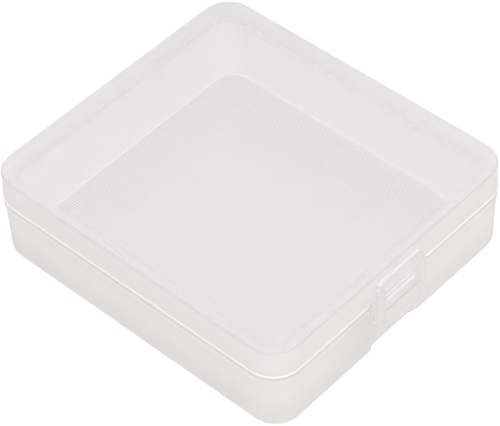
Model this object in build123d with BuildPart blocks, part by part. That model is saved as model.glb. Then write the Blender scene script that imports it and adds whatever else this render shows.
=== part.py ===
"""Flat hinged storage box for four round cells lying side by side, moulded in clear polypropylene.

Two mouldings: a deep tray (base) and a shallow cap (lid). The lid turns on two snap-in hinges along the
back and closes over a nib on the front with a sprung tab that has a window in it.

Millimetres. X runs along a cell, Y from the latch at the front (-Y) to the hinges at the back (+Y), Z is up.
The origin is the middle of the tray's underside, on the surface that the box stands on.
"""

import os
from math import atan, tan

from build123d import *

# Whole box
width = 70.2
depth = 77.0
height = 22.5
seam_height = 15.85
corner_radius = 6.5

# Tray
wall = 1.2
floor_thickness = 1.2
base_draft = 0.6
bottom_edge_radius = 2.4
bay_edge_radius = 0.4
rim_height = 2.2
rim_step = 0.2
rim_bevel = 0.2

# Lap joint of the rim: a lip on the tray inside a skirt on the lid
lip_height = 0.9
skirt = 0.6
lap_clearance = 0.1
seat_gap = 0.05

# Lid
lid_wall = 1.2
lid_top = 1.2
lid_draft = 2.6
lid_edge_radius = 0.6
lid_inner_bevel = 0.5

# Shallow band down the tray's front that the tab lies in
band_mouth = 16.8
band_floor = 14.2
band_depth = 0.78

# Latch tab on the lid: proud sizes are outwards from the rim's outline
tab_width = 13.8
tab_bottom = 6.9
tab_top = 20.0
tab_proud = 1.3
tab_corner_radius = 3.0
tab_edge_radius = 0.35
rail_slope = 3.2
rail_bend_radius = 3.0
web_width = 10.6
web_proud = 0.35
dish_top = 10.9
dish_bottom = 7.6
window_width = 9.6
window_height = 2.3
sill_height = 13.35

# Nib on the tray that shows in the window
nib_width = 8.6
nib_proud = 0.66
nib_face = 0.85
nib_ramp = 1.3
nib_seat = 0.3
nib_clearance = 0.08
nib_side_clearance = 0.4

# Hinges: a clip on the tray round a pin between two ears on the lid
hinge_spacing = 35.0
clip_length = 6.0
clip_drop = 3.4
ear_thickness = 2.0
ear_rise = 3.0
ear_gap = 0.2
hinge_seat = 0.5
knuckle_radius = 1.6
knuckle_clearance = 0.15
pin_radius = 0.8
pin_clearance = 0.05
clip_mouth = 1.3
clip_mouth_angle = 35.0

# Worked out from the sizes above
rim_bottom = seam_height - rim_height
lid_low = seam_height + seat_gap
front = -depth / 2
back = depth / 2
wall_inset = rim_step + wall
lip_outset = skirt + lap_clearance
band_front = front + rim_step + band_depth
band_run = (band_mouth - band_floor) / 2 / band_depth
band_reach = 1.0
tab_back = front + skirt
web_front = front - web_proud
tab_front = front - tab_proud
nib_front = band_front - nib_proud
nib_bottom = sill_height + seat_gap
hinge_y = back + knuckle_radius + knuckle_clearance
hinge_z = seam_height
hinge_xs = (-hinge_spacing / 2, hinge_spacing / 2)
ear_span = clip_length + 2 * (ear_gap + ear_thickness)
ear_xs = (-ear_span / 2, ear_span / 2 - ear_thickness)


def rounded_outline(inset):
    """The rim's outline in plan, moved inwards."""
    RectangleRounded(width - 2 * inset, depth - 2 * inset, corner_radius - inset)


def band_outline(inset, reach):
    """The latch band in plan, with sloped flanks, from in front of the box to reach past the band's floor.

    inset is how far behind the tray's outer wall its floor lies. It widens there, so that the wall keeps
    its thickness round the flanks.
    """
    half_floor = band_floor / 2 + inset * tan(atan(1 / band_run) / 2)
    floor_y = band_front + inset
    mouth_y = front - band_reach
    half_mouth = half_floor + (floor_y - mouth_y) * band_run
    half_end = half_floor - reach * band_run
    Polygon(
        (-half_mouth, mouth_y),
        (-half_end, floor_y + reach),
        (half_end, floor_y + reach),
        (half_mouth, mouth_y),
        align=None,
    )


def tray_form(inset, bottom, edge_radius):
    """Block with drafted sides, round corners and a round bottom edge, its front set back along the band.

    inset is how far its sides lie inside the tray's outer wall.
    """
    with BuildPart() as block:
        with BuildSketch(Plane.XY.offset(bottom)):
            rounded_outline(rim_step + inset)
        extrude(amount=seam_height - bottom)
        draft(block.faces().filter_by(Axis.Z, reverse=True), Plane.XY.offset(seam_height), -base_draft)
        fillet(block.edges().group_by(Axis.Z)[0], radius=edge_radius)

    # What the band takes away is all that lies in front of the same block moved back by the band's depth
    with BuildPart() as band:
        with BuildSketch(Plane.XY.offset(bottom)):
            band_outline(inset, band_reach)
        extrude(amount=seam_height - bottom)
        with Locations((0, band_depth, 0)):
            add(block.part, mode=Mode.SUBTRACT)

    with BuildPart() as form:
        add(block.part)
        add(band.part, mode=Mode.SUBTRACT)
    return form.part


# Tray
with BuildPart() as base:
    add(tray_form(0, 0, bottom_edge_radius))

    # Rim flange round the top of the wall, cut back along the latch band
    with BuildSketch(Plane.XY.offset(rim_bottom)):
        rounded_outline(0)
    extrude(amount=rim_height)
    with BuildSketch(Plane.XY.offset(rim_bottom)):
        band_outline(0, 0)
    extrude(amount=rim_height, mode=Mode.SUBTRACT)
    chamfer(base.edges().group_by(Axis.Z)[-1], length=rim_bevel)

    # Lip that stands inside the lid's skirt, left out along the latch band
    with BuildSketch(Plane.XY.offset(seam_height)):
        rounded_outline(lip_outset)
        with Locations((0, front)):
            Rectangle(band_mouth, 2 * wall_inset, mode=Mode.SUBTRACT)
    extrude(amount=lip_height)

    # Cell bay
    add(tray_form(wall, floor_thickness, bay_edge_radius), mode=Mode.SUBTRACT)
    with BuildSketch(Plane.XY.offset(seam_height)):
        rounded_outline(wall_inset)
    extrude(amount=lip_height, mode=Mode.SUBTRACT)

    # Nib of the latch: a ramp on top that the tab rides over, a flat underside that holds it
    with BuildSketch(Plane.YZ):
        with BuildLine():
            Polyline(
                (band_front + nib_seat, nib_bottom),
                (nib_front, nib_bottom),
                (nib_front, nib_bottom + nib_face),
                (band_front, nib_bottom + nib_face + nib_ramp),
                (band_front + nib_seat, nib_bottom + nib_face + nib_ramp),
                close=True,
            )
        make_face()
    extrude(amount=nib_width / 2, both=True)

    # Hinge clips, open towards the back so that the lid's pins snap in
    for x in hinge_xs:
        with BuildSketch(Plane.YZ.offset(x)):
            with Locations((hinge_y, hinge_z)):
                Circle(knuckle_radius)
            with Locations((back - rim_step - hinge_seat, hinge_z)):
                Rectangle(hinge_seat, clip_drop, align=(Align.MIN, Align.MAX))
            make_hull()
            with Locations((hinge_y, hinge_z)):
                Rectangle(depth, height, align=(Align.MAX, Align.MIN), mode=Mode.SUBTRACT)
                Circle(knuckle_radius)
                Circle(pin_radius + pin_clearance, mode=Mode.SUBTRACT)
            with Locations(Location((hinge_y, hinge_z), clip_mouth_angle)):
                Rectangle(2 * knuckle_radius, clip_mouth, align=(Align.MIN, Align.CENTER), mode=Mode.SUBTRACT)
        extrude(amount=clip_length / 2, both=True)

base.part.label = "base"


# Space under the lid
with BuildPart() as lid_space:
    with BuildSketch(Plane.XY.offset(lid_low)):
        rounded_outline(lid_wall)
    extrude(amount=height - lid_top - lid_low, taper=lid_draft)
    chamfer(lid_space.edges().group_by(Axis.Z)[-1], length=lid_inner_bevel)


# Latch tab: a plate with two rails down its sides, a thinner web between them and a window in the web
with BuildPart() as tab:
    # Side view: a narrow shelf on top, a slope out to the rails' full depth, and their upright fronts
    with BuildSketch(Plane.YZ) as rail_profile:
        with BuildLine():
            Polyline(
                (tab_back, tab_bottom),
                (tab_front, tab_bottom),
                (tab_front, tab_top - rail_slope),
                (web_front, tab_top),
                (tab_back, tab_top),
                close=True,
            )
        make_face()
        bend = rail_profile.vertices().group_by(Axis.X)[0].sort_by(Axis.Y)[-1]
        fillet(bend, radius=rail_bend_radius)
    extrude(amount=tab_width / 2, both=True)
    fillet(tab.edges().filter_by(Axis.Y).group_by(Axis.Z)[0], radius=tab_corner_radius)
    rail_fronts = tab.faces().sort_by(Axis.Y)[0]
    fillet(rail_fronts.edges().filter_by(Axis.X, reverse=True), radius=tab_edge_radius)

    # Web, and the dish below it that runs out to the tab's lower edge
    with BuildSketch(Plane.YZ):
        with BuildLine():
            Polyline(
                (web_front, height),
                (web_front, dish_top),
                (tab_front, dish_bottom),
                (tab_front - tab_proud, dish_bottom),
                (tab_front - tab_proud, height),
                close=True,
            )
        make_face()
    extrude(amount=web_width / 2, both=True, mode=Mode.SUBTRACT)

    # Window for the nib, and a relief behind the bar below it
    with BuildSketch(Plane.XZ.offset(-tab_back)):
        with Locations((0, sill_height)):
            Rectangle(window_width, window_height, align=(Align.CENTER, Align.MIN))
    extrude(amount=tab_back - tab_front, mode=Mode.SUBTRACT)
    with BuildSketch(Plane.XZ.offset(-tab_back)):
        with Locations((0, sill_height)):
            Rectangle(nib_width + 2 * nib_side_clearance, height, align=(Align.CENTER, Align.MAX))
    extrude(amount=tab_back - nib_front + nib_clearance, mode=Mode.SUBTRACT)


# Lid
with BuildPart() as lid:
    with BuildSketch(Plane.XY.offset(lid_low)):
        rounded_outline(0)
    extrude(amount=height - lid_low, taper=lid_draft)
    fillet(lid.edges().group_by(Axis.Z)[-1], radius=lid_edge_radius)
    chamfer(lid.edges().group_by(Axis.Z)[0], length=rim_bevel)
    add(lid_space.part, mode=Mode.SUBTRACT)

    # Rebate that leaves the skirt
    with BuildSketch(Plane.XY.offset(lid_low)):
        rounded_outline(skirt)
    extrude(amount=lip_height + seat_gap, mode=Mode.SUBTRACT)

    add(tab.part)

    # Hinge ears, and the pins between them
    for x in hinge_xs:
        for ear_x in ear_xs:
            with BuildSketch(Plane.YZ.offset(x + ear_x)):
                with Locations((hinge_y, hinge_z)):
                    Circle(knuckle_radius)
                with Locations((back - hinge_seat, lid_low)):
                    Rectangle(hinge_seat, ear_rise, align=(Align.MIN, Align.MIN))
                make_hull()
                with Locations((hinge_y, lid_low)):
                    Rectangle(depth, height, align=(Align.MAX, Align.MAX), mode=Mode.SUBTRACT)
                with Locations((hinge_y, hinge_z)):
                    Circle(knuckle_radius)
            extrude(amount=ear_thickness)
        with BuildSketch(Plane.YZ.offset(x + ear_xs[0])):
            with Locations((hinge_y, hinge_z)):
                Circle(pin_radius)
        extrude(amount=ear_span)

lid.part.label = "lid"


os.makedirs("parts", exist_ok=True)
export_step(base.part, "parts/base.step")
export_step(lid.part, "parts/lid.step")
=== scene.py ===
"""Looks of a flat hinged box in clear polypropylene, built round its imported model. Metres, Z up."""

from math import cos, pi, radians, sin, tan

import bmesh
import bpy
from mathutils import Matrix, Vector


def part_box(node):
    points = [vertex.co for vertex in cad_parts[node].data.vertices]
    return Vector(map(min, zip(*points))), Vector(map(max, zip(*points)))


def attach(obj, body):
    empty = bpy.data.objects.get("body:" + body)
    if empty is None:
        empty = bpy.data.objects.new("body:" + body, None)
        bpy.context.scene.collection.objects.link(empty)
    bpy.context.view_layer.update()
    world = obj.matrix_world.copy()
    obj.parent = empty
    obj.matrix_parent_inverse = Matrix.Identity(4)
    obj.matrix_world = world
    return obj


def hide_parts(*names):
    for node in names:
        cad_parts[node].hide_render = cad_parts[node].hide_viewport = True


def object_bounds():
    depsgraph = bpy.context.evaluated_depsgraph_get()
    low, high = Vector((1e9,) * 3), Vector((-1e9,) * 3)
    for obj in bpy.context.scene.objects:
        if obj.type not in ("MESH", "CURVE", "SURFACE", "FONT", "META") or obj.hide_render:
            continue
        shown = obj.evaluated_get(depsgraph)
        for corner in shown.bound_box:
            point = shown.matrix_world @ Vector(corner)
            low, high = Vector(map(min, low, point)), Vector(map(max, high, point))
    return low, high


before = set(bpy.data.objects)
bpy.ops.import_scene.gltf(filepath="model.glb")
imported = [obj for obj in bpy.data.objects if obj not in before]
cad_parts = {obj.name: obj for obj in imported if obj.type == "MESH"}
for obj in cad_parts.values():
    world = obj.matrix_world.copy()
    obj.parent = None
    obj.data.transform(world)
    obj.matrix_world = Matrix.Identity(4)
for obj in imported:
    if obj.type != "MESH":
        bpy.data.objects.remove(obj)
cad_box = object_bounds()

MM = 0.001
X, Y = 0, 1

# Camera, as the photograph was taken: where it looks, from which way and how far
AIM = Vector((-2.14, -1.78, 11.2)) * MM
AZIMUTH = radians(-45.80)
ELEVATION = radians(46.52)
ROLL = radians(-2.73)
DISTANCE = 451.5 * MM
LENS = 162.4
SENSOR = 36.0
CLIP_START = 0.01

# Table, world and one soft lamp
FLOOR_SIZE = 3.0
FLOOR_COLOUR = (0.80, 0.80, 0.80, 1)
FLOOR_GLOW = 0.39
WORLD_COLOUR = (1, 1, 1, 1)
WORLD_LEVEL = 0.85
LAMP_AZIMUTH = radians(-37)
LAMP_ELEVATION = radians(22)
LAMP_DISTANCE = 0.9
LAMP_SIZE = 0.8
LAMP_POWER = 2.75
LAMP_COLOUR = (1.0, 0.95, 0.93)

# Fine ribs that the mould leaves on the tray's floor, along Y. Each is cut into a few strips.
FLOOR_LEVEL = 1.2 * MM
RIB_PITCH = 0.58 * MM
RIB_HEIGHT = 0.04 * MM
RIB_MARGIN = 0.1 * MM
RIB_CUTS = 4
RIB_ROW = 4.0 * MM

# Their wear, by the distance from a middle line and along Y. The least is left of them short of the
# first of both pairs, and all of them past the second of either.
RIB_WEAR_MIDDLE = -2.0 * MM
RIB_WEAR_ASIDE = (12.0 * MM, 32.0 * MM)
RIB_WEAR_ALONG = (18.0 * MM, 36.0 * MM)
RIB_WEAR_LEFT = (0.2, 1.0)

# Round top corners of the latch tab, cut down to just in front of the lid's drafted wall. The sizes
# of the tab and the lid are those of the solids.
TAB_HALF_WIDTH = 6.9 * MM
TAB_TOP = 20.0 * MM
LID_FRONT = -38.5 * MM
LID_LOW = 15.9 * MM
LID_DRAFT = radians(2.6)
CORNER_RADIUS = 1.9 * MM
CORNER_STEPS = 10
CORNER_CLEAR = 1.0 * MM
CORNER_SKIN = 0.02 * MM

# Meshes: how near two points are one, how level the tray's floor is, and where an edge stays sharp
WELD = 0.0001 * MM
LEVEL_SLACK = 10 * WELD
CREASE = radians(32)

# Plastic: its clear body, the share of the haze's light that goes through, what is left of a lamp's
# light behind it, and the haze's tone from inside
PLASTIC_TINT = (0.985, 0.975, 0.985, 1)
PLASTIC_IOR = 1.49
HAZE_THROUGH = 0.5
LEDGE_THROUGH = 0.15
LAMP_TINT = (0.97, 0.97, 0.97, 1)
INNER_TONE = (0.95, 0.94, 0.95, 1)

# Finishes: polished where the box is looked through, matt on its sides, and a painted highlight on
# its narrow ledges.
# A haze is the share of the surface that is hazy, and a tone is that haze's colour.
CLEAR_TONE = (0.89, 0.872, 0.895)
POLISHED_ROUGHNESS = 0.03
POLISHED_HAZE = 0.18
MATT_ROUGHNESS = 0.40
MATT_HAZE = 0.45
OUTER_HAZE = 0.6
# The outer walls' tone is warmer and lighter than the top's: painted warm light on the upright sides
OUTER_WARM_LIGHT_TONE = (0.93, 0.88, 0.87)
EDGE_HAZE = 0.7
EDGE_TONE = (0.93, 0.90, 0.91)
TAB_ROUGHNESS = 0.25
TAB_HAZE = 0.58
# The tab's tone is warmer than the top's: painted warm light on its upright faces
TAB_WARM_LIGHT_TONE = (0.89, 0.86, 0.86)
# The narrow ledges' painted highlight: all haze, whiter than the rest of the plastic, little let
# through
LEDGE_HAZE = 1.0
LEDGE_HIGHLIGHT_TONE = (1.0, 0.98, 0.975)

# The ribs' haze, a dark painted shade thickest in their grooves and even where they are worn, and how
# steep its waves' flanks are
RIB_ROUGHNESS = 0.3
RIB_HAZE = 0.96
RIB_WORN_HAZE = 0.33
RIB_GROOVE_SHADE_TONE = (0.655, 0.636, 0.65)
RIB_FLANK = 0.3

# The thicker haze round the lid's top, up to a rounded outline about its own middle
RIM_HAZE = 0.62
RIM_TONE = (0.89, 0.873, 0.885)
RIM_SPREAD = 4.8 * MM
RIM_MIDDLE = -1.5 * MM
RIM_HALF = (34.8 * MM, 38.2 * MM)
RIM_RADIUS = 6.2 * MM

# Painted shade and light in the haze, by height up the tray, the lid and the latch tab: each a height
# in mm and its level
# The tray: darker towards the bottom, a painted shade line at the flange's lower edge, a lighter band
# on the flange, a painted shade strip under the seam and a painted highlight at the flange's top
TRAY_PAINTED_SHADING = (
    (0.0, 0.83),
    (10.0, 0.965),
    (13.3, 0.93),
    (13.5, 0.86),
    (13.6, 0.86),
    (13.65, 0.98),
    (14.6, 0.98),
    (15.0, 0.78),
    (15.4, 0.78),
    (15.55, 1.0),
)
# The lid's walls: painted light at their lower rim, darker up to a painted shade at the top edge
LID_PAINTED_SHADING = ((6.9, 0.97), (15.9, 0.98), (22.0, 0.95))
# The tab's rails: lighter up to a painted highlight at 16.8 mm, where their slope turns upright, and
# darker above it
RAIL_PAINTED_SHADING = ((6.9, 0.92), (16.8, 0.96), (17.2, 0.92))
# The tab's web: a painted shade line at 10.85 to 11.15 mm, along the crease above the finger dish
WEB_PAINTED_SHADING = ((6.9, 0.94), (10.6, 0.96), (10.85, 0.78), (11.15, 0.78), (11.4, 0.96), (20.0, 0.94))

# Painted shade and light round the lid's top edge, by how far its surface faces up: darker where it
# turns down, lighter where it faces up
EDGE_PAINTED_SHADING = ((0.0, 0.84), (0.88, 0.84), (0.96, 1.0))

# Clouds in the haze, and the grain of the matt plastic
CLOUD_SCALE = 70.0
CLOUD_DEPTH = 0.15
GRAIN_SCALE = 2500.0
GRAIN_STRENGTH = 0.04
GRAIN_DEPTH = 0.02 * MM

# Which faces get which finish, by its place in the piece's list. A slope is the Z of a normal.
POLISHED, MATT, RIBBED, LEDGE, OUTER, EDGE, RAIL, WEB = range(8)
LEVEL_SLOPE = 0.95
TRAY_LEDGE_SLOPES = (0.35, 0.8)
LID_LEDGE_SLOPES = (0.8, 1.1)
LEDGE_RISE = 2.0 * MM
EDGE_SLOPES = (0.1, 0.999)
EDGE_DEPTH = 0.7 * MM
TAB_REACH = 1.25 * MM
WEB_HALF_WIDTH = 4.9 * MM

BOUNCES = 32


def new_material(name):
    """An empty node material and its node tree."""
    material = bpy.data.materials.new(name)
    material.use_nodes = True
    material.node_tree.nodes.clear()
    return material, material.node_tree


def feed(tree, value, socket):
    """Sets a number or colour on the socket, or links another node's output to it."""
    if isinstance(value, bpy.types.NodeSocket):
        tree.links.new(value, socket)
    else:
        socket.default_value = value


def add_node(tree, kind, **values):
    """A node with those values on its sockets: numbers, colours or other nodes' outputs."""
    node = tree.nodes.new(kind)
    for name, value in values.items():
        feed(tree, value, node.inputs[name.replace("_", " ")])
    return node


def mix_shader(tree, share, first, second):
    """A mix of two shaders, share of it the second."""
    node = add_node(tree, "ShaderNodeMixShader", Fac=share)
    tree.links.new(first.outputs[0], node.inputs[1])
    tree.links.new(second.outputs[0], node.inputs[2])
    return node


def math_node(tree, operation, *values):
    """A Math node's result. A value is a number or another node's output."""
    node = tree.nodes.new("ShaderNodeMath")
    node.operation = operation
    for socket, value in zip(node.inputs, values):
        feed(tree, value, socket)
    return node.outputs[0]


def map_range(tree, value, source, target):
    """The value taken from one range to the other, with soft ends. Each range is a pair."""
    node = add_node(
        tree,
        "ShaderNodeMapRange",
        Value=value,
        From_Min=source[0],
        From_Max=source[1],
        To_Min=target[0],
        To_Max=target[1],
    )
    node.interpolation_type = "SMOOTHSTEP"
    return node.outputs[0]


def reading_axes(tree, reading):
    """X, Y and Z of where or how the surface lies, by a Texture Coordinate's output."""
    place = tree.nodes.new("ShaderNodeTexCoord")
    return add_node(tree, "ShaderNodeSeparateXYZ", Vector=place.outputs[reading]).outputs


def noise(tree, scale):
    """Soft noise in the object's own space, about 0.5."""
    place = tree.nodes.new("ShaderNodeTexCoord").outputs["Object"]
    return add_node(tree, "ShaderNodeTexNoise", Scale=scale, Vector=place).outputs[0]


def cloudy_haze(tree, share):
    """Haze that is a little uneven, as it sets where the melt flows."""
    depth = CLOUD_DEPTH * share
    return math_node(tree, "MULTIPLY_ADD", noise(tree, CLOUD_SCALE), 2 * depth, share - depth)


def rim_haze(tree):
    """The polished plastic's haze, thicker towards the lid's outline, and most so at +X and +Y."""
    axes = reading_axes(tree, "Object")
    squares = []
    for axis, half in zip("XY", RIM_HALF):
        away = math_node(tree, "SUBTRACT", axes[axis], RIM_MIDDLE)
        away = math_node(tree, "ABSOLUTE", away)
        away = math_node(tree, "SUBTRACT", away, half - RIM_RADIUS)
        away = math_node(tree, "MAXIMUM", away, 0.0)
        squares.append(math_node(tree, "MULTIPLY", away, away))
    reach = math_node(tree, "SQRT", math_node(tree, "ADD", *squares))
    more = map_range(tree, reach, (RIM_RADIUS - RIM_SPREAD, RIM_RADIUS), (0.0, RIM_HAZE))
    return math_node(tree, "ADD", cloudy_haze(tree, POLISHED_HAZE), more)


def rib_haze(tree):
    """Painted groove shade: dark haze in waves across the ribs, thickest in their grooves, and even
    where they are worn.
    """
    axes = reading_axes(tree, "Object")
    turn = math_node(tree, "MULTIPLY", axes["X"], 2 * pi / RIB_PITCH)
    wave = math_node(tree, "COSINE", turn)
    wave = map_range(tree, wave, (-RIB_FLANK, RIB_FLANK), (-1.0, 1.0))
    fresh = math_node(tree, "MULTIPLY_ADD", wave, RIB_HAZE / 2, RIB_HAZE / 2 - RIB_WORN_HAZE)
    aside = math_node(tree, "SUBTRACT", axes["X"], RIB_WEAR_MIDDLE)
    aside = math_node(tree, "ABSOLUTE", aside)
    left_aside = map_range(tree, aside, RIB_WEAR_ASIDE, RIB_WEAR_LEFT)
    left_along = map_range(tree, axes["Y"], RIB_WEAR_ALONG, RIB_WEAR_LEFT)
    left = math_node(tree, "MAXIMUM", left_aside, left_along)
    return math_node(tree, "MULTIPLY_ADD", fresh, left, RIB_WORN_HAZE)


def shaded_tone(tree, tone, shades, reading, full):
    """The tone with painted shade and light in the shades' levels, each at its share of full on the Z
    of that reading.
    """
    height = reading_axes(tree, reading)["Z"]
    ramp = add_node(tree, "ShaderNodeValToRGB", Fac=math_node(tree, "DIVIDE", height, full))
    stops = ramp.color_ramp.elements
    for mark, level in shades[1:-1]:
        stops.new(mark)
    for stop, (mark, level) in zip(stops, shades):
        stop.position = mark
        stop.color = (*(level * part for part in tone), 1)
    return ramp.outputs[0]


def plastic(name, roughness, tone, haze, through=HAZE_THROUGH, heights=(), slopes=()):
    """Natural polypropylene: clear, with a white haze. Lamps and scattered light shine through it.

    haze is the share of it that is hazy, or the function that makes that share's nodes. heights or
    slopes are painted shade and light on the tone, by the height in mm or by how far it faces up.
    """
    material, tree = new_material(name)
    glass = add_node(
        tree,
        "ShaderNodeBsdfPrincipled",
        Base_Color=PLASTIC_TINT,
        Roughness=roughness,
        IOR=PLASTIC_IOR,
        Transmission_Weight=1.0,
    )
    if roughness == MATT_ROUGHNESS:
        grain = add_node(
            tree,
            "ShaderNodeBump",
            Strength=GRAIN_STRENGTH,
            Distance=GRAIN_DEPTH,
            Height=noise(tree, GRAIN_SCALE),
        )
        tree.links.new(grain.outputs[0], glass.inputs["Normal"])

    outer_tone = (*tone, 1)
    if heights:
        marks = [(height * MM / cad_box[1].z, level) for height, level in heights]
        outer_tone = shaded_tone(tree, tone, marks, "Object", cad_box[1].z)
    if slopes:
        outer_tone = shaded_tone(tree, tone, slopes, "Normal", 1.0)
    side = add_node(
        tree,
        "ShaderNodeMixRGB",
        Fac=tree.nodes.new("ShaderNodeNewGeometry").outputs["Backfacing"],
        Color1=outer_tone,
        Color2=INNER_TONE,
    )
    near_haze = add_node(tree, "ShaderNodeBsdfDiffuse", Color=side.outputs[0])
    far_haze = add_node(tree, "ShaderNodeBsdfTranslucent", Color=side.outputs[0])
    share = haze(tree) if callable(haze) else cloudy_haze(tree, haze)
    body = mix_shader(tree, share, glass, mix_shader(tree, through, near_haze, far_haze))

    window = add_node(tree, "ShaderNodeBsdfTransparent", Color=LAMP_TINT)
    path = tree.nodes.new("ShaderNodeLightPath").outputs
    light_ray = math_node(tree, "MAXIMUM", path["Is Shadow Ray"], path["Is Diffuse Ray"])
    mix = mix_shader(tree, light_ray, body, window)
    add_node(tree, "ShaderNodeOutputMaterial", Surface=mix.outputs[0])
    return material


def stage_material():
    """A white table that glows a little to the camera and keeps the box's shadow."""
    material, tree = new_material("stage_white")
    matt = add_node(tree, "ShaderNodeBsdfDiffuse", Color=FLOOR_COLOUR)
    path = tree.nodes.new("ShaderNodeLightPath").outputs
    seen = math_node(tree, "MAXIMUM", path["Is Camera Ray"], path["Is Glossy Ray"])
    seen = math_node(tree, "MAXIMUM", seen, path["Is Transmission Ray"])
    glow = math_node(tree, "MULTIPLY", seen, FLOOR_GLOW)
    glow = add_node(tree, "ShaderNodeEmission", Strength=glow)
    both = tree.nodes.new("ShaderNodeAddShader")
    tree.links.new(matt.outputs[0], both.inputs[0])
    tree.links.new(glow.outputs[0], both.inputs[1])
    add_node(tree, "ShaderNodeOutputMaterial", Surface=both.outputs[0])
    return material


def add_object(name, data):
    """A new object in the scene."""
    thing = bpy.data.objects.new(name, data)
    bpy.context.scene.collection.objects.link(thing)
    return thing


def facing(azimuth, elevation, distance, roll=0.0):
    """Where something stands that looks at the object from that way and distance."""
    turn = Matrix.Rotation(azimuth, 4, "Z")
    turn = turn @ Matrix.Rotation(radians(90) - elevation, 4, "X")
    turn = turn @ Matrix.Rotation(roll, 4, "Z")
    return Matrix.Translation(AIM) @ turn @ Matrix.Translation((0, 0, distance))


def make_camera():
    """The photograph's camera."""
    camera = add_object("camera", bpy.data.cameras.new("camera"))
    camera.data.lens = LENS
    camera.data.sensor_width = SENSOR
    camera.data.clip_start = CLIP_START
    camera.matrix_world = facing(AZIMUTH, ELEVATION, DISTANCE, ROLL)
    bpy.context.scene.camera = camera


def make_stage():
    """The table, the soft lamp and the white world."""
    half = FLOOR_SIZE / 2
    corners = [(-half, -half, 0), (half, -half, 0), (half, half, 0), (-half, half, 0)]
    mesh = bpy.data.meshes.new("table")
    mesh.from_pydata(corners, [], [range(4)])
    mesh.materials.append(stage_material())
    add_object("table", mesh)

    lamp = add_object("soft_lamp", bpy.data.lights.new("soft_lamp", "AREA"))
    lamp.data.size = LAMP_SIZE
    lamp.data.energy = LAMP_POWER
    lamp.data.color = LAMP_COLOUR
    lamp.matrix_world = facing(LAMP_AZIMUTH, LAMP_ELEVATION, LAMP_DISTANCE)

    world = bpy.data.worlds.new("world")
    world.use_nodes = True
    sky = world.node_tree.nodes["Background"].inputs
    sky["Color"].default_value = WORLD_COLOUR
    sky["Strength"].default_value = WORLD_LEVEL
    bpy.context.scene.world = world


def welded_copy(node, name):
    """A new piece for a CAD node, and its mesh as an open bmesh with loose corners welded."""
    piece = add_object(name, bpy.data.meshes.new(name))
    form = bmesh.new()
    form.from_mesh(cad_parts[node].data)
    bmesh.ops.remove_doubles(form, verts=form.verts, dist=WELD)
    return piece, form


def finish_piece(piece, form, node, finishes):
    """Marks the upright faces, writes the mesh, smooths it and puts it in the node's place."""
    for face in form.faces:
        if face.material_index == POLISHED and abs(face.normal.z) < LEVEL_SLOPE:
            outwards = face.normal.xy.dot(face.calc_center_median().xy)
            face.material_index = OUTER if outwards > 0 else MATT
    form.to_mesh(piece.data)
    form.free()
    corner_normals = piece.data.attributes.get("custom_normal")
    if corner_normals:
        piece.data.attributes.remove(corner_normals)
    piece.data.shade_smooth()
    piece.data.set_sharp_from_angle(angle=CREASE)
    for material in finishes:
        piece.data.materials.append(material)
    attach(piece, node)
    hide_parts(node)


def mark_slopes(form, finish, slopes, heights):
    """Faces whose slope and height are within those pairs get that finish."""
    for face in form.faces:
        height = face.calc_center_median().z
        if slopes[0] < face.normal.z < slopes[1] and heights[0] < height < heights[1]:
            face.material_index = finish


def smooth_share(value, low, high):
    """How far the value lies from low to high, with soft ends, as map_range has it."""
    share = min(max((value - low) / (high - low), 0.0), 1.0)
    return share * share * (3 - 2 * share)


def rib_rise(x, y):
    """How far the ribs rise there, with what their wear has left of them."""
    least, most = RIB_WEAR_LEFT
    aside = smooth_share(abs(x - RIB_WEAR_MIDDLE), *RIB_WEAR_ASIDE)
    along = smooth_share(y, *RIB_WEAR_ALONG)
    left = least + (most - least) * max(aside, along)
    return left * RIB_HEIGHT * (1 - cos(2 * pi * x / RIB_PITCH)) / 2


def cut_rows(form, faces, axis, step):
    """Cuts the faces at every step along an axis and gives back all that they have become."""
    normal = Vector((0, 0, 0))
    normal[axis] = 1
    reach = int(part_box("base")[1][axis] / step)
    todo = set(faces)
    rows = set(faces)
    for i in range(-reach, reach + 1):
        place = i * step
        ahead = {f for f in todo if max(v.co[axis] for v in f.verts) > place}
        cut = {f for f in ahead if min(v.co[axis] for v in f.verts) < place}
        todo = ahead
        if not cut:
            continue
        geometry = cut | {e for f in cut for e in f.edges} | {v for f in cut for v in f.verts}
        at = {"plane_co": normal * place, "plane_no": normal}
        done = bmesh.ops.bisect_plane(form, geom=list(geometry), dist=WELD, **at)
        made = {g for g in done["geom"] if isinstance(g, bmesh.types.BMFace)}
        todo |= made
        rows |= made
    return rows


def make_tray(finishes):
    """The tray, with its floor cut into fine ribs inside a plain margin."""
    piece, form = welded_copy("base", "tray")
    floor = [f for f in form.faces if all(abs(v.co.z - FLOOR_LEVEL) < LEVEL_SLACK for v in f.verts)]
    bmesh.ops.inset_region(form, faces=floor, thickness=RIB_MARGIN, use_even_offset=True)
    ribs = cut_rows(form, floor, X, RIB_PITCH / RIB_CUTS)
    ribs = cut_rows(form, ribs, Y, RIB_ROW)
    for vertex in {v for f in ribs for v in f.verts}:
        vertex.co.z += rib_rise(*vertex.co.xy)
    for face in ribs:
        face.material_index = RIBBED
    mark_slopes(form, LEDGE, TRAY_LEDGE_SLOPES, (FLOOR_LEVEL + LEDGE_RISE, cad_box[1].z))
    finish_piece(piece, form, "base", finishes)


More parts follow.
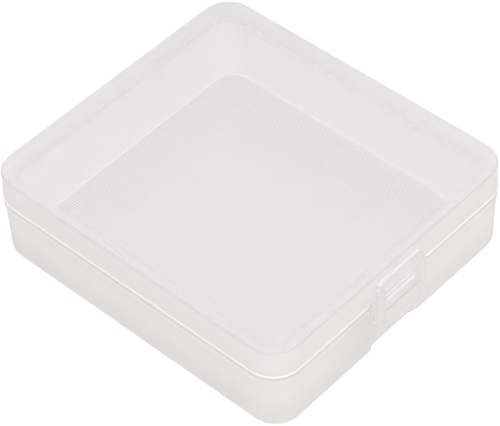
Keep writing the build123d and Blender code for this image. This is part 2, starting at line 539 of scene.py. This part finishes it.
def corner_cutter(side):
    """What the tab's top corner on that side loses: the corners and faces of a block along Y."""
    middle_x = TAB_HALF_WIDTH - CORNER_RADIUS
    middle_z = TAB_TOP - CORNER_RADIUS
    outline = []
    for i in range(CORNER_STEPS + 1):
        turn = pi / 2 * i / CORNER_STEPS
        outline.append((middle_x + CORNER_RADIUS * sin(turn), middle_z + CORNER_RADIUS * cos(turn)))
    outline += [
        (TAB_HALF_WIDTH + CORNER_CLEAR, middle_z),
        (TAB_HALF_WIDTH + CORNER_CLEAR, TAB_TOP + CORNER_CLEAR),
        (middle_x, TAB_TOP + CORNER_CLEAR),
    ]
    if side > 0:
        outline.reverse()
    count = len(outline)
    skin = LID_FRONT - CORNER_SKIN
    ahead = [(side * x, cad_box[0].y - CORNER_CLEAR, z) for x, z in outline]
    behind = [(side * x, skin + (z - LID_LOW) * tan(LID_DRAFT), z) for x, z in outline]
    sides = [(i, (i + 1) % count, (i + 1) % count + count, i + count) for i in range(count)]
    return ahead + behind, [range(count - 1, -1, -1), range(count, 2 * count), *sides]


def round_corners(piece, form):
    """Cuts the latch tab's two top corners round in the open bmesh. The piece holds each cut."""
    for side in (-1, 1):
        form.to_mesh(piece.data)
        corners, faces = corner_cutter(side)
        mesh = bpy.data.meshes.new("corner_cutter")
        mesh.from_pydata(corners, [], faces)
        cut = piece.modifiers.new("corner", "BOOLEAN")
        cut.object = add_object("corner_cutter", mesh)
        cut.operation = "DIFFERENCE"
        cut.solver = "EXACT"
        form.clear()
        form.from_object(piece, bpy.context.evaluated_depsgraph_get())
        bpy.data.objects.remove(cut.object)
        bpy.data.meshes.remove(mesh)
        piece.modifiers.clear()


def make_lid(finishes):
    """The lid, with its latch tab's top corners round. The tab stands out from its front."""
    piece, form = welded_copy("lid", "cap")
    round_corners(piece, form)
    top = cad_box[1].z
    mark_slopes(form, LEDGE, LID_LEDGE_SLOPES, (0, top - LEDGE_RISE))
    mark_slopes(form, EDGE, EDGE_SLOPES, (top - EDGE_DEPTH, top))
    for face in form.faces:
        middle = face.calc_center_median()
        if face.material_index == POLISHED and middle.y < cad_box[0].y + TAB_REACH:
            face.material_index = WEB if abs(middle.x) < WEB_HALF_WIDTH else RAIL
    finish_piece(piece, form, "lid", finishes)


make_camera()
make_stage()
polished = plastic("polished_plastic", POLISHED_ROUGHNESS, CLEAR_TONE, POLISHED_HAZE)
shared = (
    plastic("matt_plastic", MATT_ROUGHNESS, CLEAR_TONE, MATT_HAZE),
    plastic("ribbed_plastic", RIB_ROUGHNESS, RIB_GROOVE_SHADE_TONE, rib_haze),
    plastic("ledge_highlight_plastic", MATT_ROUGHNESS, LEDGE_HIGHLIGHT_TONE, LEDGE_HAZE, through=LEDGE_THROUGH),
)
make_tray((
    polished,
    *shared,
    plastic("tray_plastic", MATT_ROUGHNESS, OUTER_WARM_LIGHT_TONE, OUTER_HAZE, heights=TRAY_PAINTED_SHADING),
))
make_lid((
    plastic("top_plastic", POLISHED_ROUGHNESS, RIM_TONE, rim_haze),
    *shared,
    plastic("lid_plastic", MATT_ROUGHNESS, OUTER_WARM_LIGHT_TONE, OUTER_HAZE, heights=LID_PAINTED_SHADING),
    plastic("edge_plastic", MATT_ROUGHNESS, EDGE_TONE, EDGE_HAZE, slopes=EDGE_PAINTED_SHADING),
    plastic("rail_plastic", TAB_ROUGHNESS, TAB_WARM_LIGHT_TONE, TAB_HAZE, heights=RAIL_PAINTED_SHADING),
    plastic("web_plastic", TAB_ROUGHNESS, TAB_WARM_LIGHT_TONE, TAB_HAZE, heights=WEB_PAINTED_SHADING),
))

paths = bpy.context.scene.cycles
paths.max_bounces = BOUNCES
paths.glossy_bounces = BOUNCES
paths.transmission_bounces = BOUNCES
paths.transparent_max_bounces = BOUNCES
bpy.context.scene.view_settings.view_transform = "Standard"
